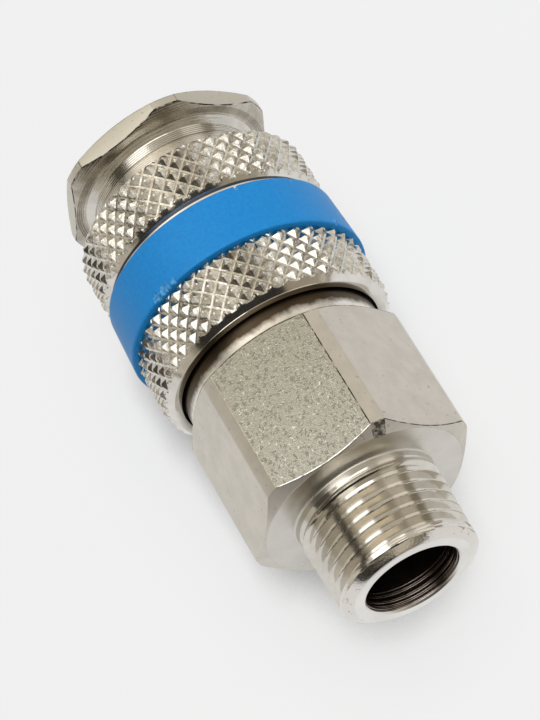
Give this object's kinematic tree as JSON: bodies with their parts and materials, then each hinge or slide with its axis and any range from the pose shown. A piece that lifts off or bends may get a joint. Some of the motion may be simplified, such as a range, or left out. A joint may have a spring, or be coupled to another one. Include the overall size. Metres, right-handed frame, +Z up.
{
  "type": "hose coupling",
  "caption": "Quick-release air hose socket: taper-threaded hexagon body, knurled sliding sleeve with a blue band, and a hexagon collar around the plug socket.",
  "frame": {"origin": "centre of the male thread's end face, on the axis", "axes": "+X along the axis from the thread to the plug socket, +Z up through one flat of the body's hexagon, with the coupling lying on its side"},
  "size_m": [0.0612, 0.029, 0.029],
  "materials": {
    "plated_body": "nickel plated, turned and milled",
    "plated_socket": "nickel plated, turned",
    "plated_sleeve": "nickel plated, diamond knurl",
    "blue_band": "satin",
    "spring_steel": "drawn wire",
    "ring_steel": "stamped",
    "ball_steel": "polished",
    "valve_brass": "turned",
    "seal_rubber": "matte"
  },
  "bodies": {
    "coupling_body": {"rear_body": "plated_body", "socket_body": "plated_socket", "valve_guide": "valve_brass", "valve_spring": "spring_steel", "plug_seal": "seal_rubber", "body_o_ring": "seal_rubber", "front_spring_washer": "ring_steel", "sleeve_spring": "spring_steel"},
    "sleeve_carrier": {"rear_spring_washer": "ring_steel"},
    "sleeve": {"locking_sleeve": "plated_sleeve", "grip_band": "blue_band", "sleeve_circlip": "ring_steel"},
    "valve": {"valve_poppet": "valve_brass", "valve_seal": "seal_rubber"},
    "ball_1": {"locking_ball_1": "ball_steel"},
    "ball_2": {"locking_ball_2": "ball_steel"},
    "ball_3": {"locking_ball_3": "ball_steel"},
    "ball_4": {"locking_ball_4": "ball_steel"},
    "ball_5": {"locking_ball_5": "ball_steel"},
    "ball_6": {"locking_ball_6": "ball_steel"}
  },
  "joints": [
    {"name": "sleeve_slide", "type": "slide", "parent": "coupling_body", "child": "sleeve_carrier", "axis": [1, 0, 0], "range_m": [0, 0.0045], "stiffness_N_per_m": 3000, "springref_m": -0.004, "deforming": ["sleeve_spring"]},
    {"name": "sleeve_spin", "type": "hinge", "parent": "sleeve_carrier", "child": "sleeve", "pos_m": [0.042, 0, 0], "axis": [1, 0, 0], "continuous": true},
    {"name": "valve_slide", "type": "slide", "parent": "coupling_body", "child": "valve", "axis": [-1, 0, 0], "range_m": [0, 0.0045], "stiffness_N_per_m": 900, "springref_m": -0.004, "deforming": ["valve_spring"]},
    {"name": "ball_1_slide", "type": "slide", "parent": "coupling_body", "child": "ball_1", "axis": [0, 0, 1], "range_m": [0, 0.001]},
    {"name": "ball_2_slide", "type": "slide", "parent": "coupling_body", "child": "ball_2", "axis": [0, -0.866, 0.5], "range_m": [0, 0.001]},
    {"name": "ball_3_slide", "type": "slide", "parent": "coupling_body", "child": "ball_3", "axis": [0, -0.866, -0.5], "range_m": [0, 0.001]},
    {"name": "ball_4_slide", "type": "slide", "parent": "coupling_body", "child": "ball_4", "axis": [0, 0, -1], "range_m": [0, 0.001]},
    {"name": "ball_5_slide", "type": "slide", "parent": "coupling_body", "child": "ball_5", "axis": [0, 0.866, -0.5], "range_m": [0, 0.001]},
    {"name": "ball_6_slide", "type": "slide", "parent": "coupling_body", "child": "ball_6", "axis": [0, 0.866, 0.5], "range_m": [0, 0.001]}
  ],
  "couplings": [
    {"joint": "ball_1_slide", "follows": "sleeve_slide", "ratio": 0.2222},
    {"joint": "ball_2_slide", "follows": "sleeve_slide", "ratio": 0.2222},
    {"joint": "ball_3_slide", "follows": "sleeve_slide", "ratio": 0.2222},
    {"joint": "ball_4_slide", "follows": "sleeve_slide", "ratio": 0.2222},
    {"joint": "ball_5_slide", "follows": "sleeve_slide", "ratio": 0.2222},
    {"joint": "ball_6_slide", "follows": "sleeve_slide", "ratio": 0.2222}
  ]
}
